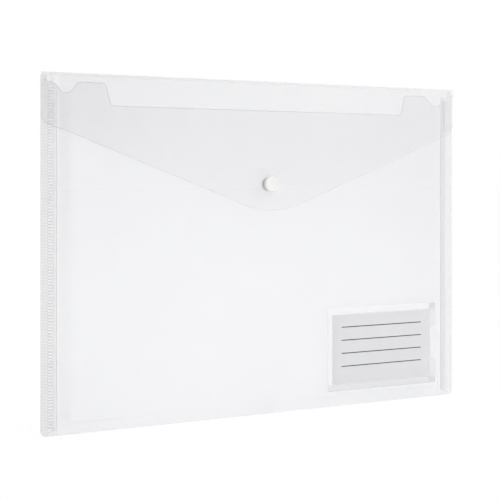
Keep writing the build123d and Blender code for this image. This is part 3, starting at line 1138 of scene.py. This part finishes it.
class WALLET_OT_label_card(Operator):
    """Label card with plain ruled lines on its face"""

    bl_idname = "wallet.label_card"
    bl_label = "Label card"

    def execute(self, context):
        sizes, colours = wallet_settings(context)
        card = block("ruled_card", CARD_LOW, CARD_HIGH)
        side_margin, line_length, head_margin = 0.0074, 0.0707, 0.0092
        start = CARD_LOW.x + side_margin
        end = start + line_length
        first = CARD_HIGH.z - head_margin
        rows = [first - index * sizes.line_pitch for index in range(sizes.lines)]
        half = sizes.line_width / 2
        score(card, ACROSS, [start, end])
        score(card, UP, [row + offset for row in rows for offset in (-half, half)])
        trimmed = 0.00006
        soften(card, "trimmed edge", trimmed)
        apply_all(card)
        matt = {"roughness": 0.75, "scale": 2500.0, "tone": 0.05, "relief": 0.3, "depth": 0.00003}
        printed = {"roughness": 0.6, "scale": 2500.0, "tone": 0.3, "relief": 0.2, "depth": 0.00002}
        paper = solid_material("card stock", colours.card, **matt)
        ink = solid_material("ruling ink", colours.ink, **printed)
        coat(card, paper, ink)
        for face in card.data.polygons:
            inked = start < face.center.x < end and face.normal.y < -0.9
            if inked and any(abs(face.center.z - row) < half for row in rows):
                face.material_index = 1
        dress(card, "card", "card", "label_card")
        return {"FINISHED"}


class WALLET_OT_stage(Operator):
    """Pale floor, soft white studio with a dark left side, and the camera"""

    bl_idname = "wallet.stage"
    bl_label = "Stage"

    def execute(self, context):
        scene = context.scene
        stage, colours = scene.wallet_stage, scene.wallet_colours
        bpy.ops.object.select_all(action="DESELECT")
        bpy.ops.mesh.primitive_plane_add(size=40, location=(0, 0, 0))
        floor = bpy.context.object
        floor.name = "studio_floor"
        material, tree, shader = new_material("studio floor")
        place = tree.nodes.new("ShaderNodeTexCoord").outputs["Object"]
        speckle = node(tree, "ShaderNodeTexNoise", Vector=place, Scale=40.0)
        tone = spread(tree, speckle.outputs["Fac"], 0.0, 1.0, 0.99, 1.01)
        lit_share, own_light = 0.2, 0.828
        paint = [lit_share * part for part in colours.floor]
        tree.links.new(tinted(tree, paint, tone), shader.inputs["Base Color"])
        shader.inputs["Roughness"].default_value = 1.0
        shader.inputs["Specular IOR Level"].default_value = 0.0
        shader.inputs["Emission Color"].default_value = (1, 1, 1, 1)
        shader.inputs["Emission Strength"].default_value = own_light
        floor.data.materials.append(material)

        world = bpy.data.worlds.new("studio")
        scene.world = world
        world.use_nodes = True
        tree = world.node_tree
        ground = tree.nodes["Background"]
        direction = tree.nodes.new("ShaderNodeTexCoord").outputs["Generated"]
        across = node(tree, "ShaderNodeSeparateXYZ", Vector=direction).outputs["X"]
        bright_side = 1.1
        light = spread(tree, across, -0.9, 0.0, stage.dark_side, bright_side)
        seen = tree.nodes.new("ShaderNodeLightPath").outputs["Is Camera Ray"]
        mixed = tree.nodes.new("ShaderNodeMix")
        tree.links.new(seen, mixed.inputs[0])
        tree.links.new(light, mixed.inputs[2])
        mixed.inputs[3].default_value = 1.0
        tree.links.new(mixed.outputs[0], ground.inputs["Strength"])
        ground.inputs["Color"].default_value = (1, 1, 1, 1)

        bpy.ops.object.light_add(type="AREA", location=(1.2, -1.4, 1.3))
        softbox = bpy.context.object
        softbox.name = "softbox"
        softbox.data.shape = "RECTANGLE"
        softbox.data.size, softbox.data.size_y = 1.2, 0.8
        softbox.data.energy = 6
        wallet_middle = Vector((0, 0, 0.12))
        aim = wallet_middle - softbox.location
        softbox.rotation_euler = aim.to_track_quat("-Z", "Y").to_euler()

        bpy.ops.object.camera_add(location=stage.camera, rotation=(math.pi / 2, 0, -stage.turn))
        camera = bpy.context.object
        camera.data.sensor_width = 36
        camera.data.lens = stage.lens
        camera.data.shift_y = -stage.shift
        camera.data.clip_start = 0.01
        scene.camera = camera
        scene.view_settings.view_transform = "Standard"
        scene.view_settings.look = "None"
        scene.cycles.transparent_max_bounces = 48
        return {"FINISHED"}


OPERATORS = (
    WALLET_OT_back_sheet,
    WALLET_OT_front_sheet,
    WALLET_OT_weld_strips,
    WALLET_OT_fold_strip,
    WALLET_OT_flap_sheet,
    WALLET_OT_snap,
    WALLET_OT_label_pocket,
    WALLET_OT_label_card,
    WALLET_OT_stage,
)


class WALLET_PT_panel(Panel):
    """Lists the pieces of the wallet"""

    bl_idname = "WALLET_PT_panel"
    bl_label = "Document Wallet"
    bl_space_type = "VIEW_3D"
    bl_region_type = "UI"
    bl_category = "Wallet"

    def draw(self, context):
        for operator in OPERATORS:
            self.layout.operator(operator.bl_idname)
        for settings in ("wallet_sizes", "wallet_colours", "wallet_stage"):
            group = getattr(context.scene, settings)
            for label in group.bl_rna.properties.keys():
                if label not in ("rna_type", "name"):
                    self.layout.prop(group, label)


CLASSES = (WalletSizes, WalletColours, WalletStage, *OPERATORS, WALLET_PT_panel)


def register():
    """Register the settings, operators and panel."""
    for item in CLASSES:
        bpy.utils.register_class(item)
    bpy.types.Scene.wallet_sizes = PointerProperty(type=WalletSizes)
    bpy.types.Scene.wallet_colours = PointerProperty(type=WalletColours)
    bpy.types.Scene.wallet_stage = PointerProperty(type=WalletStage)


def unregister():
    """Take everything out again."""
    del bpy.types.Scene.wallet_stage
    del bpy.types.Scene.wallet_colours
    del bpy.types.Scene.wallet_sizes
    for item in reversed(CLASSES):
        bpy.utils.unregister_class(item)


def main():
    """Make every piece."""
    register()
    bpy.ops.wallet.back_sheet()
    bpy.ops.wallet.front_sheet()
    bpy.ops.wallet.weld_strips()
    bpy.ops.wallet.fold_strip()
    bpy.ops.wallet.flap_sheet()
    bpy.ops.wallet.snap()
    bpy.ops.wallet.label_pocket()
    bpy.ops.wallet.label_card()
    bpy.ops.wallet.stage()


if __name__ == "__main__":
    main()
